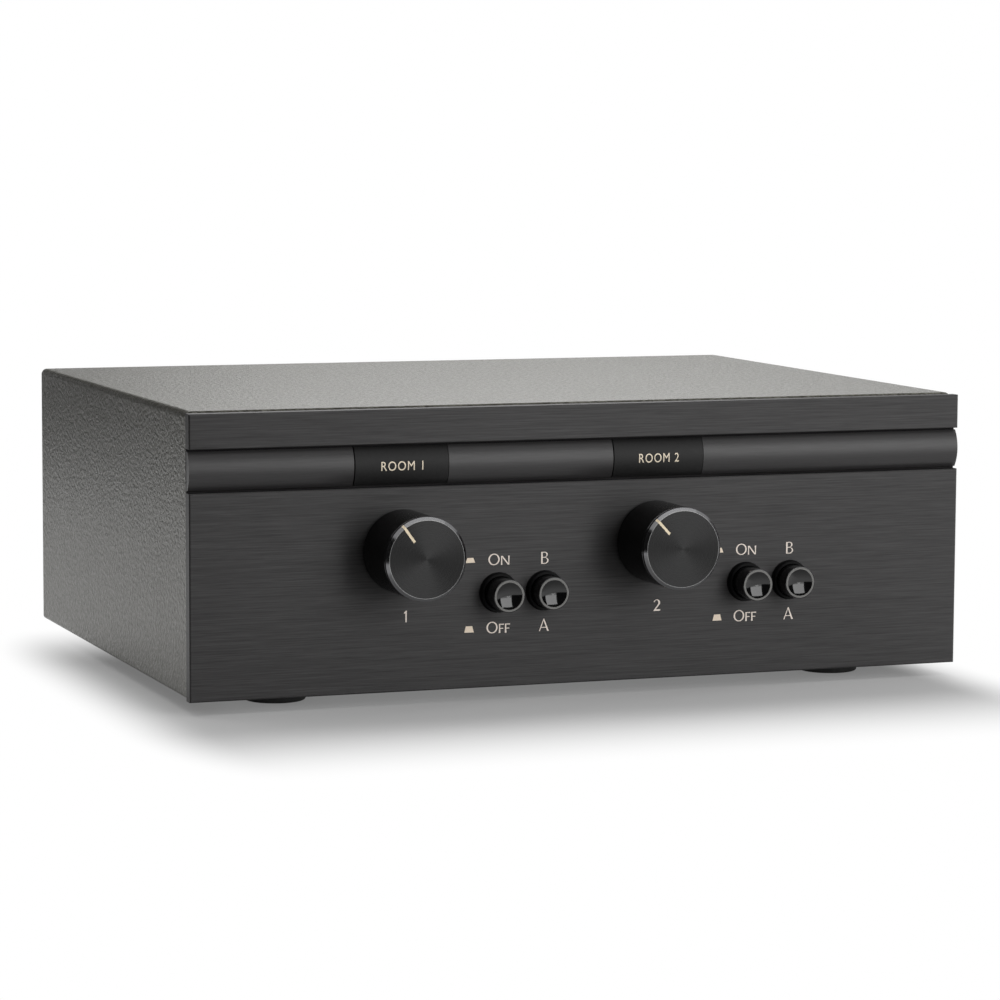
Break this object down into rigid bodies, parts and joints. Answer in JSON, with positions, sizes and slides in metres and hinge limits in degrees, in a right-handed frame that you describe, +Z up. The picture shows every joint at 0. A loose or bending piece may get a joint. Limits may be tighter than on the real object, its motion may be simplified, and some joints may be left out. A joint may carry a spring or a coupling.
{
  "type": "speaker selector switch",
  "caption": "Metal desktop box that sends audio sources to rooms: brushed black panel with a stepped volume knob and latching push buttons for each room.",
  "frame": {"origin": "middle of the bounding box, on the surface that the feet stand on", "axes": "+X to the right as seen from the front, +Y from the front panel to the back, +Z up"},
  "size_m": [0.262, 0.2284, 0.0936],
  "materials": {
    "panel_aluminium": "black anodised, brushed from side to side",
    "trim_aluminium": "black anodised, fine satin",
    "knob_aluminium": "black anodised, turned face",
    "cover_paint": "dark grey fine textured powder coat",
    "zinc_steel": "zinc plated sheet",
    "screw_steel": "black oxide",
    "bright_steel": "bright plated",
    "plate_plastic": "dark matt with light lettering",
    "foot_rubber": "matt black",
    "button_plastic": "glossy black",
    "bezel_plastic": "satin black",
    "switch_plastic": "matt moulded",
    "plunger_plastic": "off-white moulded",
    "wafer_board": "brown phenolic board",
    "rotor_plastic": "off-white moulded",
    "post_brass": "bright",
    "board_green": "green solder mask",
    "terminal_plastic": "matt black moulded",
    "core_steel": "varnished laminations",
    "coil_copper": "wound and varnished",
    "ribbon_plastic": "grey flat cable"
  },
  "bodies": {
    "case": {"autoformer_coil_1_left": "coil_copper", "autoformer_coil_1_right": "coil_copper", "autoformer_coil_2_left": "coil_copper", "autoformer_coil_2_right": "coil_copper", "autoformer_core_1_left": "core_steel", "autoformer_core_1_right": "core_steel", "autoformer_core_2_left": "core_steel", "autoformer_core_2_right": "core_steel", "autoformer_frames": "zinc_steel", "button_bezels": "bezel_plastic", "chassis": "zinc_steel", "cover_screws": "screw_steel", "deck_posts": "post_brass", "foot_front_left": "foot_rubber", "foot_front_right": "foot_rubber", "foot_rear_left": "foot_rubber", "foot_rear_right": "foot_rubber", "foot_screws": "screw_steel", "front_panel": "panel_aluminium", "inside_screws": "bright_steel", "lock_washers": "bright_steel", "name_plate_1": "plate_plastic", "name_plate_2": "plate_plastic", "panel_screws": "bright_steel", "power_switch_1": "switch_plastic", "power_switch_2": "switch_plastic", "rear_board": "board_green", "ribbon_cable": "ribbon_plastic", "room_1_terminals": "terminal_plastic", "room_2_terminals": "terminal_plastic", "shaft_nuts": "bright_steel", "source_a_terminals": "terminal_plastic", "source_b_terminals": "terminal_plastic", "source_switch_1": "switch_plastic", "source_switch_2": "switch_plastic", "switch_board": "board_green", "switch_housing_1": "zinc_steel", "switch_housing_2": "zinc_steel", "switch_wafer_1": "wafer_board", "switch_wafer_2": "wafer_board", "top_cover": "cover_paint", "trim_bar_left": "trim_aluminium", "trim_bar_middle": "trim_aluminium", "trim_bar_right": "trim_aluminium"},
    "control_1": {"knob_1": "knob_aluminium", "knob_set_screw_1": "screw_steel", "control_shaft_1": "bright_steel", "switch_rotor_1": "rotor_plastic"},
    "power_1": {"power_button_1": "button_plastic", "power_plunger_1": "plunger_plastic"},
    "source_1": {"source_button_1": "button_plastic", "source_plunger_1": "plunger_plastic"},
    "control_2": {"knob_2": "knob_aluminium", "knob_set_screw_2": "screw_steel", "control_shaft_2": "bright_steel", "switch_rotor_2": "rotor_plastic"},
    "power_2": {"power_button_2": "button_plastic", "power_plunger_2": "plunger_plastic"},
    "source_2": {"source_button_2": "button_plastic", "source_plunger_2": "plunger_plastic"}
  },
  "joints": [
    {"name": "control_1_turn", "type": "hinge", "parent": "case", "child": "control_1", "pos_m": [-0.0623, -0.09065, 0.0487], "axis": [0, 1, 0], "range_deg": [-120, 210]},
    {"name": "power_1_push", "type": "slide", "parent": "case", "child": "power_1", "axis": [0, 1, 0], "range_m": [0, 0.003], "stiffness_N_per_m": 600},
    {"name": "source_1_push", "type": "slide", "parent": "case", "child": "source_1", "axis": [0, 1, 0], "range_m": [-0.0016, 0.0014], "stiffness_N_per_m": 600},
    {"name": "control_2_turn", "type": "hinge", "parent": "case", "child": "control_2", "pos_m": [0.0229, -0.09065, 0.0487], "axis": [0, 1, 0], "range_deg": [-120, 210]},
    {"name": "power_2_push", "type": "slide", "parent": "case", "child": "power_2", "axis": [0, 1, 0], "range_m": [0, 0.003], "stiffness_N_per_m": 600},
    {"name": "source_2_push", "type": "slide", "parent": "case", "child": "source_2", "axis": [0, 1, 0], "range_m": [-0.0016, 0.0014], "stiffness_N_per_m": 600}
  ]
}
